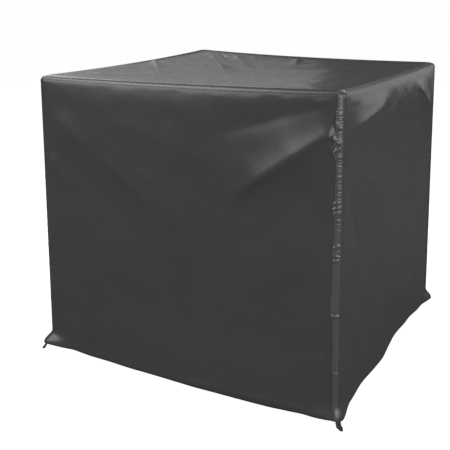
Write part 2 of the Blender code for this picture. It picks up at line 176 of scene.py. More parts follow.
# Points along each hem: place across the wall, drop below the nominal hem, push outward
HEM_COLUMNS = ("place", "drop", "push")
HEMS = {
    "wall_front": ((-0.86, 0.000, 0.004), (-0.65, 0.004, 0.006), (-0.30, 0.006, 0.010),
                   (0.15, 0.008, 0.013), (0.60, 0.009, 0.011), (0.86, 0.006, 0.006)),
    "wall_right": ((-0.82, -0.002, -0.002), (-0.60, -0.003, -0.005), (-0.22, -0.001, 0.001),
                   (0.18, -0.004, -0.008), (0.50, -0.002, -0.005), (0.82, 0.002, 0.002)),
    "wall_back": ((-0.60, 0.003, 0.006), (-0.10, 0.006, 0.010), (0.45, 0.002, -0.003),
                  (0.80, 0.004, 0.004)),
    "wall_left": ((-0.75, 0.002, 0.003), (-0.35, -0.003, -0.004), (0.10, 0.004, 0.006),
                  (0.60, -0.001, -0.002)),
}

# Folds, as lines from one place to another, given across the wall and down from the crest:
# height, width above and below the line, and the parts of its length over which it swells
# and dies away
FOLD_COLUMNS = ("from", "to", "height", "above", "below", "swell", "die")
FOLDS = {
    "wall_front": (
        ((1.02, 0.078), (0.42, 0.238), 0.0140, 0.050, 0.022, 0.12, 0.45),
        ((0.97, 0.030), (0.30, 0.105), -0.0040, 0.030, 0.035, 0.15, 0.50),
        ((-0.97, 0.090), (-0.08, 0.318), 0.0060, 0.075, 0.036, 0.15, 0.40),
        ((-0.60, 0.085), (0.30, 0.185), 0.0026, 0.045, 0.050, 0.35, 0.35),
        ((-0.99, 0.185), (-0.80, 0.290), 0.0030, 0.022, 0.016, 0.30, 0.50),
        ((-0.90, 0.180), (-0.30, 0.380), -0.0040, 0.035, 0.060, 0.25, 0.50),
        ((0.98, 0.160), (0.55, 0.340), -0.0045, 0.030, 0.060, 0.25, 0.50),
    ),
    "wall_right": (
        ((-1.00, 0.097), (-0.32, 0.058), 0.0070, 0.036, 0.030, 0.25, 0.40),
        ((-0.95, 0.150), (-0.20, 0.300), 0.0040, 0.045, 0.045, 0.25, 0.50),
        ((0.98, 0.140), (0.50, 0.045), 0.0050, 0.018, 0.020, 0.20, 0.50),
        ((0.98, 0.210), (0.70, 0.090), -0.0030, 0.018, 0.030, 0.20, 0.50),
        ((-0.66, 0.740), (-0.70, 0.560), 0.0040, 0.020, 0.025, 0.15, 0.60),
        ((-0.97, 0.210), (-0.70, 0.380), -0.0040, 0.030, 0.035, 0.25, 0.50),
    ),
    "wall_back": (
        ((-0.97, 0.060), (-0.25, 0.230), 0.0070, 0.060, 0.050, 0.15, 0.45),
        ((0.97, 0.070), (0.20, 0.210), 0.0060, 0.060, 0.050, 0.15, 0.45),
    ),
    "wall_left": (
        ((-0.97, 0.080), (-0.30, 0.260), 0.0070, 0.060, 0.050, 0.15, 0.45),
        ((0.97, 0.055), (0.30, 0.200), 0.0060, 0.055, 0.050, 0.15, 0.45),
    ),
}

# Fine wrinkles, in the same columns
WRINKLES = {
    "wall_front": (
        ((0.995, 0.022), (0.86, 0.030), 0.0012, 0.006, 0.006, 0.20, 0.60),
        ((0.99, 0.118), (0.935, 0.136), 0.0026, 0.004, 0.003, 0.20, 0.50),
        ((0.99, 0.096), (0.955, 0.101), 0.0018, 0.004, 0.003, 0.20, 0.50),
        ((0.960, 0.620), (0.895, 0.604), 0.0022, 0.003, 0.003, 0.30, 0.40),
        ((0.985, 0.640), (0.935, 0.625), 0.0014, 0.006, 0.004, 0.20, 0.50),
        ((-0.33, 0.205), (-0.14, 0.250), 0.0020, 0.016, 0.010, 0.50, 0.50),
        ((-0.60, 0.125), (-0.36, 0.190), 0.0014, 0.016, 0.012, 0.50, 0.50),
        ((-0.985, 0.198), (-0.86, 0.268), 0.0018, 0.009, 0.005, 0.30, 0.50),
        ((0.00, 0.732), (0.56, 0.736), 0.0024, 0.010, 0.040, 0.30, 0.30),
        ((0.48, 0.732), (0.80, 0.734), 0.0024, 0.009, 0.012, 0.20, 0.40),
        ((0.68, 0.743), (0.98, 0.742), 0.0028, 0.010, 0.020, 0.20, 0.30),
        ((-0.80, 0.745), (0.20, 0.742), 0.0014, 0.010, 0.040, 0.20, 0.30),
    ),
    "wall_right": (
        ((-0.985, 0.026), (-0.80, 0.030), 0.0010, 0.006, 0.006, 0.30, 0.60),
        ((-0.90, 0.081), (-0.55, 0.070), 0.0012, 0.010, 0.006, 0.40, 0.50),
        ((0.93, 0.136), (0.57, 0.061), 0.0026, 0.007, 0.005, 0.30, 0.40),
        ((0.75, 0.186), (0.67, 0.141), 0.0012, 0.006, 0.005, 0.30, 0.50),
        ((-0.66, 0.710), (-0.71, 0.605), 0.0022, 0.008, 0.008, 0.30, 0.50),
    ),
    "wall_back": (),
    "wall_left": (),
}

# Creases in the top cloth, as places in x and y, with height and width
CREASES = (
    ((-0.37, 0.37), (-0.12, 0.10), 0.0045, 0.030),
    ((-0.30, 0.38), (-0.06, 0.16), -0.0040, 0.030),
    ((-0.37, 0.10), (-0.12, -0.24), 0.0040, 0.030),
    ((0.36, -0.36), (0.14, -0.12), 0.0030, 0.035),
    ((0.36, 0.35), (0.14, 0.13), 0.0030, 0.035),
    ((-0.02, 0.37), (0.03, 0.20), 0.0025, 0.030),
    ((-0.36, -0.35), (-0.20, -0.16), 0.0025, 0.035),
)

# Sharper creases, which run in from the rims, in the same columns
FINE_CREASES = (
    ((-0.41, 0.112), (-0.21, -0.135), 0.0150, 0.030),
    ((-0.38, 0.390), (-0.17, 0.120), 0.0130, 0.018),
    ((-0.33, 0.395), (-0.17, 0.210), -0.0060, 0.016),
    ((-0.29, 0.395), (-0.15, 0.240), 0.0080, 0.014),
    ((-0.03, 0.390), (0.00, 0.300), 0.0060, 0.009),
    ((-0.167, 0.39), (-0.172, 0.35), 0.0030, 0.010),
    ((-0.39, -0.250), (-0.30, -0.272), 0.0040, 0.016),
)

# Both kinds of crease: the parts of its length over which one swells and dies away, and how
# soon it rises from the rims, as a multiple of the sag
CREASE_SWELL = 0.3
CREASE_DIE = 0.5
CREASE_RISE = 4.0
FINE_CREASE_SWELL = 0.10
FINE_CREASE_DIE = 1.2
FINE_CREASE_RISE = 7.0

# Strips over the upright seams: how far a strip reaches inward past the corner's bend, the part
# of its width that does so, how far it reaches over the seam, the level it starts at on the
# roll, and the columns and rows of its grid
STRIP_LAP = 0.0012
STRIP_FLAT_PART = 0.45
STRIP_END = 0.8
STRIP_TOP_LEVEL = -0.55
STRIP_COLUMNS = 14
NEAR_STRIP_ROWS = 700
FAR_STRIP_ROWS = 160

# The near strip, from the rim down: how much further it reaches inward, how deep its fine
# crinkles are, and how far its edge beside the seam is curled up
STRIP_KNOTS = (
    {"down": 0.000, "reach": -0.002, "crinkle": 0.0000, "curl": 0.0000},
    {"down": 0.036, "reach": -0.001, "crinkle": 0.0001, "curl": 0.0002},
    {"down": 0.044, "reach": 0.000, "crinkle": 0.0009, "curl": 0.0004},
    {"down": 0.070, "reach": 0.001, "crinkle": 0.0010, "curl": 0.0004},
    {"down": 0.090, "reach": 0.001, "crinkle": 0.0004, "curl": 0.0003},
    {"down": 0.105, "reach": 0.005, "crinkle": 0.0006, "curl": 0.0003},
    {"down": 0.135, "reach": 0.003, "crinkle": 0.0008, "curl": 0.0003},
    {"down": 0.150, "reach": 0.000, "crinkle": 0.0008, "curl": 0.0004},
    {"down": 0.230, "reach": 0.000, "crinkle": 0.0006, "curl": 0.0004},
    {"down": 0.250, "reach": 0.005, "crinkle": 0.0006, "curl": 0.0004},
    {"down": 0.268, "reach": 0.002, "crinkle": 0.0008, "curl": 0.0010},
    {"down": 0.335, "reach": 0.002, "crinkle": 0.0005, "curl": 0.0012},
    {"down": 0.345, "reach": 0.004, "crinkle": 0.0009, "curl": 0.0012},
    {"down": 0.378, "reach": 0.003, "crinkle": 0.0004, "curl": 0.0014},
    {"down": 0.386, "reach": 0.004, "crinkle": 0.0001, "curl": 0.0014},
    {"down": 0.452, "reach": 0.005, "crinkle": 0.0001, "curl": 0.0014},
    {"down": 0.460, "reach": 0.008, "crinkle": 0.0001, "curl": 0.0014},
    {"down": 0.496, "reach": 0.008, "crinkle": 0.0002, "curl": 0.0012},
    {"down": 0.508, "reach": 0.003, "crinkle": 0.0002, "curl": 0.0012},
    {"down": 0.580, "reach": 0.001, "crinkle": 0.0001, "curl": 0.0008},
    {"down": 0.620, "reach": 0.003, "crinkle": 0.0002, "curl": 0.0003},
    {"down": 0.645, "reach": 0.000, "crinkle": 0.0002, "curl": 0.0002},
    {"down": 0.750, "reach": 0.000, "crinkle": 0.0000, "curl": 0.0000},
)

# Larger puckers of the near strip: where each starts at the strip's left edge and how far down
# it has run by the seam, its height, half width, and how far it draws the edge out
PUCKERS = (
    {"down": 0.066, "slant": 0.015, "lift": 0.0026, "width": 0.0035, "draw": 0.000},
    {"down": 0.078, "slant": 0.004, "lift": 0.0014, "width": 0.0030, "draw": 0.000},
    {"down": 0.101, "slant": 0.017, "lift": 0.0036, "width": 0.0045, "draw": 0.004},
    {"down": 0.133, "slant": -0.014, "lift": 0.0028, "width": 0.0035, "draw": 0.005},
    {"down": 0.146, "slant": -0.006, "lift": 0.0016, "width": 0.0030, "draw": 0.001},
    {"down": 0.245, "slant": -0.006, "lift": 0.0020, "width": 0.0025, "draw": 0.002},
    {"down": 0.258, "slant": -0.009, "lift": 0.0026, "width": 0.0022, "draw": 0.004},
    {"down": 0.268, "slant": -0.008, "lift": 0.0022, "width": 0.0022, "draw": 0.003},
    {"down": 0.345, "slant": -0.010, "lift": 0.0018, "width": 0.0030, "draw": 0.001},
    {"down": 0.357, "slant": 0.008, "lift": 0.0016, "width": 0.0026, "draw": 0.002},
    {"down": 0.375, "slant": -0.006, "lift": 0.0018, "width": 0.0028, "draw": 0.001},
    {"down": 0.502, "slant": -0.003, "lift": 0.0024, "width": 0.0030, "draw": 0.001},
    {"down": 0.636, "slant": 0.004, "lift": 0.0016, "width": 0.0040, "draw": 0.001},
)

# How much of its height a pucker keeps at the strip's edges, how much wider than the pucker the
# drawn-out stretch of edge is, and the part of the strip's width from which it curls
PUCKER_EDGE = 0.35
DRAW_SPREAD = 1.6
CURL_FROM = 0.72

# Fine crinkles: the distance between them, their slant and half width, the ranges these and
# their height vary in, and the height and the spacing of those on the far strips
CRINKLE_SPACING = 0.0045
CRINKLE_SLANT = 0.006
CRINKLE_WIDTH = 0.0016
CRINKLE_GAIN = 1.5
SPACING_RANGE = (0.6, 1.5)
CRINKLE_HEIGHT_RANGE = (0.35, 1.0)
CRINKLE_WIDTH_RANGE = (0.7, 1.4)
NEAR_CRINKLE_SEED = 21
FAR_CRINKLE_SEED = 33
FAR_CRINKLE = 0.0006
FAR_CRINKLE_SPACING = 4 * CRINKLE_SPACING

# Ties: from the inside of a corner down past the hem: out from the corner, sideways towards
# the wall's end, down from the hem, width and twist
TIES = {
    "tie_near": {"corner": "near", "steps": (
        (-0.0068, 0.000, -0.014, 0.009, 0.0), (-0.0037, 0.000, -0.003, 0.009, 0.0),
        (-0.0030, -0.001, 0.005, 0.013, 5.0), (-0.0020, 0.000, 0.011, 0.012, 12.0),
        (0.0010, 0.001, 0.015, 0.015, 25.0), (0.0040, 0.005, 0.023, 0.006, 35.0))},
    "tie_left": {"corner": "left_front", "steps": (
        (-0.0106, 0.000, -0.012, 0.009, 0.0), (-0.0056, 0.000, -0.003, 0.009, 0.0),
        (-0.0045, -0.001, 0.003, 0.009, 20.0), (-0.0020, -0.001, 0.009, 0.009, 60.0),
        (0.0015, -0.002, 0.014, 0.009, 80.0), (0.0030, -0.003, 0.019, 0.008, 75.0))},
}
TIE_ROWS = 40
TIE_COLUMNS = 8

# Finishes: colour, roughness, strength of the fine relief, and the axes that the weave runs along
CLOTH_COLOUR = (0.054, 0.057, 0.056)
STRIP_COLOUR = (0.080, 0.084, 0.083)
TIE_COLOUR = (0.030, 0.030, 0.030)
FINISHES = {
    "cloth_facing_y": {"colour": CLOTH_COLOUR, "roughness": 0.28, "relief": 0.05, "axes": "XZ"},
    "cloth_facing_x": {"colour": CLOTH_COLOUR, "roughness": 0.28, "relief": 0.05, "axes": "YZ"},
    "cloth_facing_up": {"colour": CLOTH_COLOUR, "roughness": 0.28, "relief": 0.05, "axes": "XY"},
    "seam_strip": {"colour": STRIP_COLOUR, "roughness": 0.20, "relief": 0.05, "axes": "XZ"},
    "tie_tape": {"colour": TIE_COLOUR, "roughness": 0.75, "relief": 0.50, "axes": "XZ"},
}

# The weave's pitch and depth, the scuffs' depth and fineness, how far they change the
# roughness, the mottling's fineness, and how dark and how light it makes the colour
WEAVE_PITCH = 0.0012
WEAVE_DEPTH = 0.0003
SCUFF_DEPTH = 0.0002
SCUFFS = {"Scale": 160.0, "Detail": 3.0}
SCUFF_ROUGHNESS = 0.04
MOTTLING = {"Scale": 9.0, "Detail": 4.0}
DARK_TINT = 0.90
LIGHT_TINT = 1.10

# Sockets of a Mix node that mixes colours: how far it mixes, its two colours, and its result
MIX_FACTOR = 0
MIX_A = 6
MIX_B = 7
MIX_RESULT = 2

# Studio: the floor's size and how far it lies below the cover, and what the lights turn to
FLOOR_SIZE = 60.0
FLOOR_GAP = 0.001
LIGHT_CENTRE = Vector((0.0, 0.0, -0.25))

# Soft lights: direction round the cover from its front towards its right, height above the
# level, distance, width and height of the light, and its brightness
LIGHTS = {
    "key": {"round": -36.0, "up": 20.0, "away": 3.6, "size": (2.2, 1.4), "radiance": 3.7},
    "fill": {"round": 44.0, "up": 15.0, "away": 4.0, "size": (3.4, 2.4), "radiance": 3.3},
    "high": {"round": -55.0, "up": 52.0, "away": 3.5, "size": (1.8, 1.8), "radiance": 5.0},
    "left": {"round": -109.0, "up": 30.0, "away": 3.5, "size": (2.5, 1.6), "radiance": 3.0},
    "right": {"round": 90.0, "up": 18.0, "away": 4.0, "size": (2.2, 1.8), "radiance": 3.4},
    "back_left": {"round": -142.0, "up": 8.0, "away": 4.0, "size": (2.6, 1.6), "radiance": 0.42},
    "back_left_high": {"round": -144.0, "up": 35.0, "away": 4.0, "size": (1.1, 0.9),
                       "radiance": 2.4},
    "back_right": {"round": 152.0, "up": 12.0, "away": 4.0, "size": (2.2, 2.0), "radiance": 0.8},
    "back_right_high": {"round": 160.0, "up": 45.0, "away": 4.0, "size": (2.2, 1.6),
                        "radiance": 4.0},
}

# The surround's brightness where it is seen and where it lights the cover, the floor's
# reflectance and glow where it is seen, and its reflectance where it lights the cover
WHITE = (1.0, 1.0, 1.0, 1.0)
SURROUND_SEEN = 1.0
SURROUND_LIGHT = 0.06
FLOOR_SEEN = 0.25
FLOOR_SEEN_GLOW = 0.97
FLOOR_MIRRORED = 0.12


def ease(value):
    """A smooth step from 0 to 1, flat at both ends."""
    part = np.clip(value, 0.0, 1.0)
    return part * part * (3.0 - 2.0 * part)


def through(places, values, at):
    """Values carried smoothly from each knot to the next."""
    places, values = np.asarray(places), np.asarray(values)
    at = np.clip(at, places[0], places[-1])
    index = np.clip(np.searchsorted(places, at) - 1, 0, len(places) - 2)
    start, end = places[index], places[index + 1]
    return values[index] + (values[index + 1] - values[index]) * ease((at - start) / (end - start))


def corners_of(wall):
    """The corners at the left and right ends of a wall, seen from outside."""
    index = WALL_NAMES.index(wall)
    return CORNERS[CORNER_NAMES[index - 1]], CORNERS[CORNER_NAMES[index]]


def plan_point(half, radius, across):
    """Place along and outward on a square with round corners: across runs from -1 to 1 over
    the flat, on to 2 round the corner's first half, and to 3 over the strip at the seam."""
    reach = np.abs(across)
    angle = math.pi / 4 * np.clip(reach - 1.0, 0.0, 1.0)
    strip = SEAM_STRIP * np.clip(reach - 2.0, 0.0, 1.0)
    flat_end = half - radius - math.sqrt(2.0) * SEAM_STRIP - SEAM_GAP / math.sqrt(2.0)
    along = flat_end * np.minimum(reach, 1.0) + radius * np.sin(angle) + strip * math.sqrt(0.5)
    outward = half - radius * (1.0 - np.cos(angle)) - strip * math.sqrt(0.5)
    return along * np.sign(across), outward


def to_world(wall, along, outward, height):
    """Points given along, outward and up, turned to their wall's side and settled as it hangs."""
    turn = math.radians(WALLS[wall]["turn"])
    east = along * math.cos(turn) + outward * math.sin(turn)
    north = along * math.sin(turn) - outward * math.cos(turn)
    points = np.stack(np.broadcast_arrays(east, north, height), axis=-1)
    return settle(points)


def settle(points):
    """Points of the true box, moved with the corners as the cover hangs out of true."""
    down = ((CREST - points[..., 2]) / HEIGHT)[..., None]
    moved = points.copy()
    for lean in LEANS:
        near_x = (1.0 + lean["side"][0] * points[..., 0] / (WIDTH / 2)) / 2
        near_y = (1.0 + lean["side"][1] * points[..., 1] / (WIDTH / 2)) / 2
        shift = np.array(lean["rim"]) * (1.0 - down) + np.array(lean["hem"]) * down
        moved += (near_x * near_y)[..., None] * shift
    return moved


def between(wall, across, key):
    """A corner value, carried from one end of a wall to the other."""
    left, right = corners_of(wall)
    return left[key] + (right[key] - left[key]) * (np.clip(across, -1.0, 1.0) + 1.0) / 2


def crest_height(wall, across):
    """Height of the rim's crest: peaks at the corners and a little sag between them."""
    left, right = corners_of(wall)
    place = np.clip(across, -1.0, 1.0)
    left_peak = left["rise"] * ((1.0 - place) / 2) ** PEAK_POWER
    right_peak = right["rise"] * ((1.0 + place) / 2) ** PEAK_POWER
    return CREST + (left_peak + right_peak) - RIM_SAG * (1.0 - place * place)


def hem_value(wall, across, name):
    """A hem's drop or push at a place across the wall."""
    column = HEM_COLUMNS.index(name)
    left, right = corners_of(wall)
    ends = (left["drop"], right["drop"]) if name == "drop" else (0.0, 0.0)
    places = [-1.0] + [row[0] for row in HEMS[wall]] + [1.0]
    values = [ends[0]] + [row[column] for row in HEMS[wall]] + [ends[1]]
    return through(places, values, np.clip(across, -1.0, 1.0))


def ridge(x, y, start, end, above, below, swell, die, blunt):
    """Strength, 0 to 1, of a ridge along the line from start to end. Its slopes are steepest
    beside its crest, which is rounded over the blunt distance."""
    run = (end[0] - start[0], end[1] - start[1])
    length = math.hypot(*run)
    part = ((x - start[0]) * run[0] + (y - start[1]) * run[1]) / (length * length)
    aside = ((y - start[1]) * run[0] - (x - start[0]) * run[1]) / length
    if run[0] < 0:
        aside = -aside
    spread = FAN_START + (1.0 - FAN_START) * ease(part / FAN_LENGTH)
    width = np.where(aside > 0, below, above) * spread
    along = ease(part / swell) * ease((1.0 + die / 2 - part) / die)
    return along * spread * np.exp((blunt - np.hypot(aside, blunt)) / (RIDGE_FALL * width))


def folds_at(table, across, down, blunt):
    """Sum of a table's folds at places on a wall."""
    x = np.clip(across, -1.0, 1.0) * HALF
    push = 0.0
    for fold in table:
        sizes = dict(zip(FOLD_COLUMNS, fold))
        start = (sizes["from"][0] * HALF, sizes["from"][1])
        end = (sizes["to"][0] * HALF, sizes["to"][1])
        push = push + sizes["height"] * ridge(
            x, down, start, end, sizes["above"], sizes["below"], sizes["swell"], sizes["die"],
            blunt)
    return push


def unevenness(x, y, seed):
    """Soft random waves over a cloth, about -1 to 1."""
    draw = np.random.default_rng(seed)
    total = 0.0
    for _ in range(UNEVEN_WAVES):
        angle = draw.uniform(0.0, math.pi)
        wave = UNEVEN_LENGTH * draw.uniform(*UNEVEN_RANGE)
        phase = draw.uniform(0.0, 2.0 * math.pi)
        turned = x * math.cos(angle) + y * math.sin(angle)
        total = total + np.sin(2.0 * math.pi * turned / wave + phase)
    return total / math.sqrt(UNEVEN_WAVES)


def wall_push(wall, across, down):
    """How far folds, wrinkles and unevenness push a wall outward."""
    inside = 1.0 - np.abs(across)
    broad = folds_at(FOLDS[wall], across, down, FOLD_BLUNT)
    broad = broad * ease(inside / FOLD_END) * ease((down - FOLD_START) / (FOLD_FULL - FOLD_START))
    fine = folds_at(WRINKLES[wall], across, down, WRINKLE_BLUNT)
    fine = fine + UNEVEN_HEIGHT * unevenness(
        np.clip(across, -1.0, 1.0) * HALF, down, WALLS[wall]["seed"])
    fine = fine * ease(inside / WRINKLE_END)
    fine = fine * ease((down - WRINKLE_START) / (WRINKLE_FULL - WRINKLE_START))
    band = HEM_STEP * ease((down - (HEIGHT - HEM_BAND)) / HEM_STEP_RUN)
    return broad + fine + band


def corner_push(wall, across, drop):
    """Push along and outward from the ear at the nearer bottom corner."""
    left, right = corners_of(wall)
    ear = np.where(across > 0, right["ear"], left["ear"])
    flat_end = HALF - CORNER_RADIUS
    spread = ease(1.0 - (1.0 - np.minimum(np.abs(across), 1.0)) * flat_end / EAR_SPREAD)
    ear = ear * ease(1.0 - (1.0 - drop) * HEIGHT / EAR_HEIGHT) * spread
    return ear * math.sqrt(0.5) * np.sign(across), ear * math.sqrt(0.5)


def wall_surface(wall, across, level):
    """Points of a wall's middle surface. level runs from 1 at the hem to 0 where the roll
    starts, to -1 at the crest, to -2 in the valley and to -3 at the seam with the top."""
    drop = np.clip(level, 0.0, 1.0)
    angle = np.clip(-level, 0.0, 1.0) * math.pi / 2
    valley = np.clip(-level - 1.0, 0.0, 1.0)
    ledge = np.clip(-level - 2.0, 0.0, 1.0)
    inset = ROLL * (1.0 - np.cos(angle)) + VALLEY_RUN * valley + LEDGE * ledge
    radius = CORNER_RADIUS + (LEDGE_CORNER_RADIUS - CORNER_RADIUS) * inset / SEAM_INSET
    along, outward = plan_point(HALF - inset + FLARE * drop, radius, across)
    down = ROLL_RADIUS + drop * (HEIGHT - ROLL_RADIUS)
    flat = 1.0 - np.clip(np.abs(across), 0.0, 1.0) ** BOW_POWER
    outward = outward + WALLS[wall]["bow"] * flat * np.sin(math.pi * drop)
    below_crest = np.where(level > 0, down, ROLL * (1.0 - np.sin(angle)))
    shoulder = 1.0 - np.exp(-below_crest / SHOULDER_RISE)
    shoulder = shoulder * (1.0 - ease(below_crest / SHOULDER_FALL))
    outward = outward + SHOULDER_PUSH * shoulder * np.sqrt(flat)
    outward = outward + wall_push(wall, across, down) * (level > 0)
    hem_part = ease(1.0 - (1.0 - drop) * HEIGHT / HEM_PUSH_HEIGHT)
    outward = outward + hem_value(wall, across, "push") * hem_part
    ear_along, ear_outward = corner_push(wall, across, drop)
    crest = crest_height(wall, across) - SHEET / 2
    hem = HEM_Z - hem_value(wall, across, "drop")
    height = crest - ROLL + (hem - crest + ROLL) * drop + ROLL * np.sin(angle)
    height = height - between(wall, across, "dip") * ease(valley)
    return to_world(wall, along + ear_along, outward + ear_outward, height)


def crowded(count, crowding):
    """Places from -1 to 1, closer together towards both ends."""
    even = np.linspace(-1.0, 1.0, count)
    return (1.0 - crowding) * even + crowding * np.sin(even * math.pi / 2)


def wall_stations(columns):
    """Places across a wall, closer together towards its corners, and round them."""
    bend = np.linspace(1.0, 2.0, BEND_COLUMNS + 1)[1:]
    ends = np.concatenate((bend, SEAM_PLACES))
    flat = crowded(columns + 1 - 2 * len(ends), WALL_CROWDING)
    return np.concatenate((-ends[::-1], flat, ends))


def wall_levels(rows):
    """Levels from the hem to the seam with the top cloth."""
    roll = np.linspace(0.0, -1.0, ROLL_ROWS + 1)[1:]
    valley = np.linspace(-1.0, -2.0, VALLEY_ROWS + 1)[1:]
    rim = np.concatenate((roll, valley, -np.array(SEAM_PLACES)))
    face = np.linspace(1.0, 0.0, rows - len(rim))
    return np.concatenate((face, rim))


def cloth_object(name, grid, thickness, material):
    """A thin sheet through a grid of points, whose rows run upward."""
    rows, columns = grid.shape[0] - 1, grid.shape[1] - 1
    builder = bmesh.new()
    bmesh.ops.create_grid(builder, x_segments=columns, y_segments=rows, size=0.5)
    mesh = bpy.data.meshes.new(name)
    builder.to_mesh(mesh)
    builder.free()
    flat = np.empty(len(mesh.vertices) * 3)
    mesh.vertices.foreach_get("co", flat)
    flat = flat.reshape(-1, 3)
    column = np.rint((flat[:, 0] + 0.5) * columns).astype(int)
    row = np.rint((flat[:, 1] + 0.5) * rows).astype(int)
    mesh.vertices.foreach_set("co", grid[row, column].ravel())
    mesh.update()
    mesh.shade_smooth()
    mesh.materials.append(material)
    piece = bpy.data.objects.new(name, mesh)
    bpy.context.scene.collection.objects.link(piece)
    solid = piece.modifiers.new("thickness", "SOLIDIFY")
    solid.thickness = thickness
    solid.offset = 0.0
    solid.use_even_offset = False
    return piece


def declare(piece, node):
    """Put a piece in place of its solid, on the one body."""
    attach(piece, "root")
    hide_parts(node)


def crinkles(part, down, seed, spacing):
    """Fine slanted wrinkles across a strip, at random places down it; about 0 to 1."""
    draw = np.random.default_rng(seed)
    total = 0.0
    place = 0.0
    while place < HEIGHT:
        place += spacing * draw.uniform(*SPACING_RANGE)
        slant = CRINKLE_SLANT * draw.uniform(-1.0, 1.0)
        height = draw.uniform(*CRINKLE_HEIGHT_RANGE)
        width = CRINKLE_WIDTH * draw.uniform(*CRINKLE_WIDTH_RANGE)
        line = place + slant * (part - 0.5)
        total = total + height * np.exp(-((down - line) / width) ** 2)
    return total


def near_relief(part, down):
    """How much further inward the near strip reaches, and how far it is lifted off its wall."""
    knots = [row["down"] for row in STRIP_KNOTS]
    reach = through(knots, [row["reach"] for row in STRIP_KNOTS], down)
    depth = through(knots, [row["crinkle"] for row in STRIP_KNOTS], down)
    curl = through(knots, [row["curl"] for row in STRIP_KNOTS], down)
    crown = PUCKER_EDGE + (1.0 - PUCKER_EDGE) * np.sin(math.pi * part)
    lift = 0.0
    for row in PUCKERS:
        line = row["down"] + row["slant"] * part
        bump = np.exp(-((down - line) / row["width"]) ** 2)
        lift = lift + row["lift"] * bump * crown
        edge = np.exp(-((down - row["down"]) / (DRAW_SPREAD * row["width"])) ** 2)
        reach = reach + row["draw"] * edge
    lift = lift + CRINKLE_GAIN * depth * crinkles(part, down, NEAR_CRINKLE_SEED, CRINKLE_SPACING)
    lift = lift + curl * ease((part - CURL_FROM) / (1.0 - CURL_FROM))
    return reach, lift


def far_relief(wall, part, down):
    """The same for a far strip, which only has a few faint crinkles."""
    seed = FAR_CRINKLE_SEED + WALL_NAMES.index(wall)
    return 0.0, FAR_CRINKLE * crinkles(part, down, seed, FAR_CRINKLE_SPACING)


def strip_grid(wall, rows, near):
    """A seam strip's middle surface: one gap off its wall, lifted where it puckers."""
    level = np.linspace(1.0, STRIP_TOP_LEVEL, rows)[:, None]
    down = ROLL_RADIUS + level * (HEIGHT - ROLL_RADIUS)
    down = np.where(level > 0, down, ROLL_RADIUS * (1.0 + level))
    part = np.linspace(0.0, 1.0, STRIP_COLUMNS)[None, :]
    reach, lift = near_relief(part, down) if near else far_relief(wall, part, down)
    flat_end = HALF - CORNER_RADIUS
    inner = 1.0 - (STRIP_LAP + reach) / flat_end
    across_flat = inner + (1.0 - inner) * np.clip(part / STRIP_FLAT_PART, 0.0, 1.0)
    bend_part = (part - STRIP_FLAT_PART) / (1.0 - STRIP_FLAT_PART)
    across_bend = 1.0 + (1.0 + STRIP_END) * bend_part
    across = np.where(part < STRIP_FLAT_PART, across_flat, across_bend)
    foot = wall_surface(wall, across, level)
    sideways = np.gradient(foot, axis=1)
    upward = np.gradient(foot, axis=0)
    normal = np.cross(sideways, upward)
    normal /= np.linalg.norm(normal, axis=-1, keepdims=True)
    gap = (FINE_SHEET + STRIP_SHEET) / 2 + STRIP_GAP
    return foot + normal * (gap + lift)[..., None]


def tie_grid(tie):
    """A tie's middle surface, its lowest row first."""
    wall = WALL_NAMES[CORNER_NAMES.index(tie["corner"])]
    foot = wall_surface(wall, np.array([[SEAM_PLACES[-1]]]), np.array([[1.0]]))[0, 0]
    outward = np.array((foot[0], foot[1], 0.0))
    outward /= np.linalg.norm(outward)
    sideways = np.array((-outward[1], outward[0], 0.0))
    steps = np.array(tie["steps"])
    knots = np.arange(len(steps))
    at = np.linspace(len(steps) - 1, 0, TIE_ROWS)
    out, aside, down, width, twist = (np.interp(at, knots, column) for column in steps.T)
    angle = np.radians(twist)[:, None]
    facing = sideways * np.cos(angle) + outward * np.sin(angle)
    centre = foot + outward * out[:, None] + sideways * aside[:, None]
    centre[:, 2] -= down
    part = np.linspace(-0.5, 0.5, TIE_COLUMNS)[None, :, None]
    return centre[:, None, :] + facing[:, None, :] * width[:, None, None] * part


def top_edge(wall, across):
    """The top cloth's edge: the wall's inner edge, one gap further in, before it settles."""
    height = crest_height(wall, across) - SHEET / 2 - between(wall, across, "dip")
    along, outward = plan_point(HALF - SEAM_INSET - SEAM_GAP, LEDGE_CORNER_RADIUS, across)
    middle = (np.abs(along) + outward) / 2
    corner = np.abs(across) > 2.0
    along = np.where(corner, middle * np.sign(across), along)
    outward = np.where(corner, middle, outward)
    turn = math.radians(WALLS[wall]["turn"])
    east = along * math.cos(turn) + outward * math.sin(turn)
    north = along * math.sin(turn) - outward * math.cos(turn)
    return np.stack((east, north, height), axis=-1)


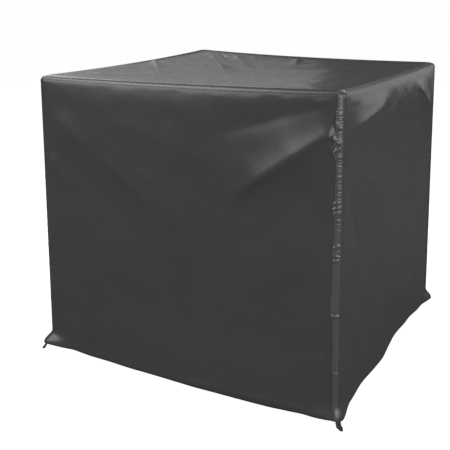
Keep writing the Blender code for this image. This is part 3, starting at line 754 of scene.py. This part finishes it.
def top_grid():
    """The top cloth's middle surface: sewn to the four rims, sagging, with its creases."""
    corner = SEAM_PLACES[-1]
    stations = np.concatenate(([-corner], crowded(TOP_COLUMNS - 1, TOP_CROWDING), [corner]))
    front, right, back, left = (top_edge(wall, stations) for wall in WALL_NAMES)
    back, left = back[::-1], left[::-1]
    parts = (front[:, 0] - front[0, 0]) / (front[-1, 0] - front[0, 0])
    s_part, t_part = parts[None, :, None], parts[:, None, None]
    across = left[:, None] + (right - left)[:, None] * s_part
    upward = front[None] + (back - front)[None] * t_part
    low = front[0] + (front[-1] - front[0]) * s_part
    high = back[0] + (back[-1] - back[0]) * s_part
    grid = across + upward - low - (high - low) * t_part
    middle = len(stations) // 2
    sag = grid[middle, middle, 2] - SHEET / 2
    ring = grid[1, 1, 0]
    x, y = grid[..., 0], grid[..., 1]
    hang = np.clip(1.0 - (x / ring) ** 2, 0.0, 1.0) * np.clip(1.0 - (y / ring) ** 2, 0.0, 1.0)
    crease = TOP_UNEVEN_HEIGHT * unevenness(x, y, TOP_SEED)
    for start, end, height, width in CREASES:
        crease = crease + height * ridge(
            x, y, start, end, width, width, CREASE_SWELL, CREASE_DIE, CREASE_BLUNT)
    fine = 0.0
    for start, end, height, width in FINE_CREASES:
        fine = fine + height * ridge(
            x, y, start, end, width, width, FINE_CREASE_SWELL, FINE_CREASE_DIE,
            FINE_CREASE_BLUNT)
    grid[..., 2] += crease * ease(hang * CREASE_RISE) + fine * ease(hang * FINE_CREASE_RISE)
    grid[..., 2] -= sag * hang
    return settle(grid)


def add_node(tree, kind, values=(), links=()):
    """A shader node with values set on its sockets or settings, and its inputs linked."""
    node = tree.nodes.new(kind)
    for name, value in dict(values).items():
        if name in node.inputs:
            node.inputs[name].default_value = value
        else:
            setattr(node, name, value)
    for name, source in dict(links).items():
        tree.links.new(source, node.inputs[name])
    return node


def opaque(colour, factor=1.0):
    """A colour, made darker or lighter by a factor, with its alpha."""
    return tuple(factor * part for part in colour) + (1.0,)


def cloth_material(name):
    """Coated cloth: faint weave, soft mottling of its colour, and scuffs in its gloss."""
    finish = FINISHES[name]
    material = bpy.data.materials.new(name)
    material.use_nodes = True
    tree = material.node_tree
    shader = tree.nodes["Principled BSDF"]
    place = add_node(tree, "ShaderNodeTexCoord").outputs["Object"]
    split = add_node(tree, "ShaderNodeSeparateXYZ", links={"Vector": place})
    waves = []
    for axis in finish["axes"]:
        scaled = add_node(tree, "ShaderNodeMath", {"operation": "MULTIPLY"})
        tree.links.new(split.outputs[axis], scaled.inputs[0])
        scaled.inputs[1].default_value = 2.0 * math.pi / WEAVE_PITCH
        sine = add_node(tree, "ShaderNodeMath", {"operation": "SINE"})
        tree.links.new(scaled.outputs[0], sine.inputs[0])
        waves.append(sine.outputs[0])
    threads = add_node(tree, "ShaderNodeMath", {"operation": "MULTIPLY"})
    tree.links.new(waves[0], threads.inputs[0])
    tree.links.new(waves[1], threads.inputs[1])
    mottle = add_node(tree, "ShaderNodeTexNoise", MOTTLING, {"Vector": place})
    scuffs = add_node(tree, "ShaderNodeTexNoise", SCUFFS, {"Vector": place})
    tint = add_node(tree, "ShaderNodeMix", {"data_type": "RGBA"})
    tree.links.new(mottle.outputs["Fac"], tint.inputs[MIX_FACTOR])
    tint.inputs[MIX_A].default_value = opaque(finish["colour"], DARK_TINT)
    tint.inputs[MIX_B].default_value = opaque(finish["colour"], LIGHT_TINT)
    tree.links.new(tint.outputs[MIX_RESULT], shader.inputs["Base Color"])
    gloss = add_node(tree, "ShaderNodeMapRange",
                     {"To Min": finish["roughness"] - SCUFF_ROUGHNESS,
                      "To Max": finish["roughness"] + SCUFF_ROUGHNESS},
                     {"Value": scuffs.outputs["Fac"]})
    tree.links.new(gloss.outputs["Result"], shader.inputs["Roughness"])
    weave_bump = add_node(tree, "ShaderNodeBump",
                          {"Strength": finish["relief"], "Distance": WEAVE_DEPTH},
                          {"Height": threads.outputs[0]})
    scuff_bump = add_node(tree, "ShaderNodeBump",
                          {"Strength": finish["relief"], "Distance": SCUFF_DEPTH},
                          {"Height": scuffs.outputs["Fac"],
                           "Normal": weave_bump.outputs["Normal"]})
    tree.links.new(scuff_bump.outputs["Normal"], shader.inputs["Normal"])
    return material


def make_pieces():
    """Every piece of the cover, each in place of its solid."""
    materials = {name: cloth_material(name) for name in FINISHES}
    for name, wall in WALLS.items():
        grid = wall_surface(
            name, wall_stations(wall["columns"])[None, :], wall_levels(wall["rows"])[:, None])
        facing = "cloth_facing_y" if wall["turn"] in (0.0, 180.0) else "cloth_facing_x"
        piece = cloth_object(name + "_cloth", grid, FINE_SHEET, materials[facing])
        declare(piece, name)
    piece = cloth_object("top_panel_cloth", top_grid(), FINE_SHEET, materials["cloth_facing_up"])
    declare(piece, "top_panel")
    for wall, corner in zip(WALL_NAMES, CORNER_NAMES):
        near = corner == "near"
        grid = strip_grid(wall, NEAR_STRIP_ROWS if near else FAR_STRIP_ROWS, near)
        piece = cloth_object(
            "strip_" + corner + "_cloth", grid, FINE_STRIP_SHEET, materials["seam_strip"])
        declare(piece, "strip_" + corner)
    for name, tie in TIES.items():
        piece = cloth_object(name + "_tape", tie_grid(tie), TIE_SHEET, materials["tie_tape"])
        wall = WALL_NAMES[CORNER_NAMES.index(tie["corner"])]
        declare(piece, name)


def make_camera():
    """A camera that sees the cover as the photograph does."""
    yaw, pitch, roll = (math.radians(a) for a in (CAMERA_YAW, CAMERA_PITCH, CAMERA_ROLL))
    ahead = Vector((math.sin(yaw) * math.cos(pitch), math.cos(yaw) * math.cos(pitch),
                    -math.sin(pitch)))
    level = Vector((math.cos(yaw), -math.sin(yaw), 0.0))
    below = ahead.cross(level)
    right = level * math.cos(roll) + below * math.sin(roll)
    down = below * math.cos(roll) - level * math.sin(roll)
    data = bpy.data.cameras.new("camera")
    data.sensor_width = SENSOR
    data.lens = FOCAL_PIXELS * SENSOR / PICTURE_PIXELS
    data.shift_y = -HORIZON_SHIFT_PIXELS / PICTURE_PIXELS
    data.clip_start = CAMERA_CLIP
    camera = bpy.data.objects.new("camera", data)
    camera.matrix_world = Matrix.Translation(CAMERA_PLACE) @ Matrix(
        (right, -down, -ahead)).transposed().to_4x4()
    bpy.context.scene.collection.objects.link(camera)
    bpy.context.scene.camera = camera


def make_lights():
    """Plain soft studio lights."""
    for name, light in LIGHTS.items():
        turn, up = math.radians(light["round"]), math.radians(light["up"])
        towards = Vector((math.sin(turn) * math.cos(up), -math.cos(turn) * math.cos(up),
                          math.sin(up)))
        data = bpy.data.lights.new(name, "AREA")
        data.shape = "RECTANGLE"
        data.size, data.size_y = light["size"]
        data.energy = light["radiance"] * math.pi * data.size * data.size_y
        lamp = bpy.data.objects.new(name, data)
        lamp.location = LIGHT_CENTRE + towards * light["away"]
        lamp.rotation_euler = towards.to_track_quat("Z", "Y").to_euler()
        lamp.visible_camera = False
        bpy.context.scene.collection.objects.link(lamp)


def seen_or_lighting(tree, seen, lighting):
    """One shader where it is seen directly, and another where it lights the cover."""
    path = add_node(tree, "ShaderNodeLightPath")
    mix = add_node(tree, "ShaderNodeMixShader")
    tree.links.new(path.outputs["Is Camera Ray"], mix.inputs[0])
    tree.links.new(lighting.outputs[0], mix.inputs[1])
    tree.links.new(seen.outputs[0], mix.inputs[2])
    return mix.outputs[0]


def make_world():
    """A white surround, which lights the cover only dimly."""
    world = bpy.data.worlds.new("studio")
    world.use_nodes = True
    tree = world.node_tree
    tree.nodes.clear()
    seen = add_node(tree, "ShaderNodeBackground", {"Color": WHITE, "Strength": SURROUND_SEEN})
    dim = add_node(tree, "ShaderNodeBackground", {"Color": WHITE, "Strength": SURROUND_LIGHT})
    add_node(tree, "ShaderNodeOutputWorld", links={"Surface": seen_or_lighting(tree, seen, dim)})
    bpy.context.scene.world = world


def make_floor():
    """A plain pale floor, just under the lowest tie end."""
    builder = bmesh.new()
    bmesh.ops.create_grid(builder, x_segments=1, y_segments=1, size=FLOOR_SIZE)
    mesh = bpy.data.meshes.new("floor")
    builder.to_mesh(mesh)
    builder.free()
    floor = bpy.data.objects.new("floor", mesh)
    floor.location.z = cad_box[0][2] - FLOOR_GAP
    material = bpy.data.materials.new("floor")
    material.use_nodes = True
    tree = material.node_tree
    tree.nodes.clear()
    pale = add_node(tree, "ShaderNodeBsdfDiffuse", {"Color": opaque(WHITE[:3], FLOOR_SEEN)})
    glow = add_node(tree, "ShaderNodeEmission", {"Strength": FLOOR_SEEN_GLOW})
    bright = add_node(tree, "ShaderNodeAddShader")
    tree.links.new(pale.outputs[0], bright.inputs[0])
    tree.links.new(glow.outputs[0], bright.inputs[1])
    dark = add_node(tree, "ShaderNodeBsdfDiffuse", {"Color": opaque(WHITE[:3], FLOOR_MIRRORED)})
    add_node(tree, "ShaderNodeOutputMaterial",
             links={"Surface": seen_or_lighting(tree, bright, dark)})
    mesh.materials.append(material)
    bpy.context.scene.collection.objects.link(floor)


make_camera()
make_pieces()
make_lights()
make_world()
make_floor()
bpy.context.scene.view_settings.view_transform = "Standard"
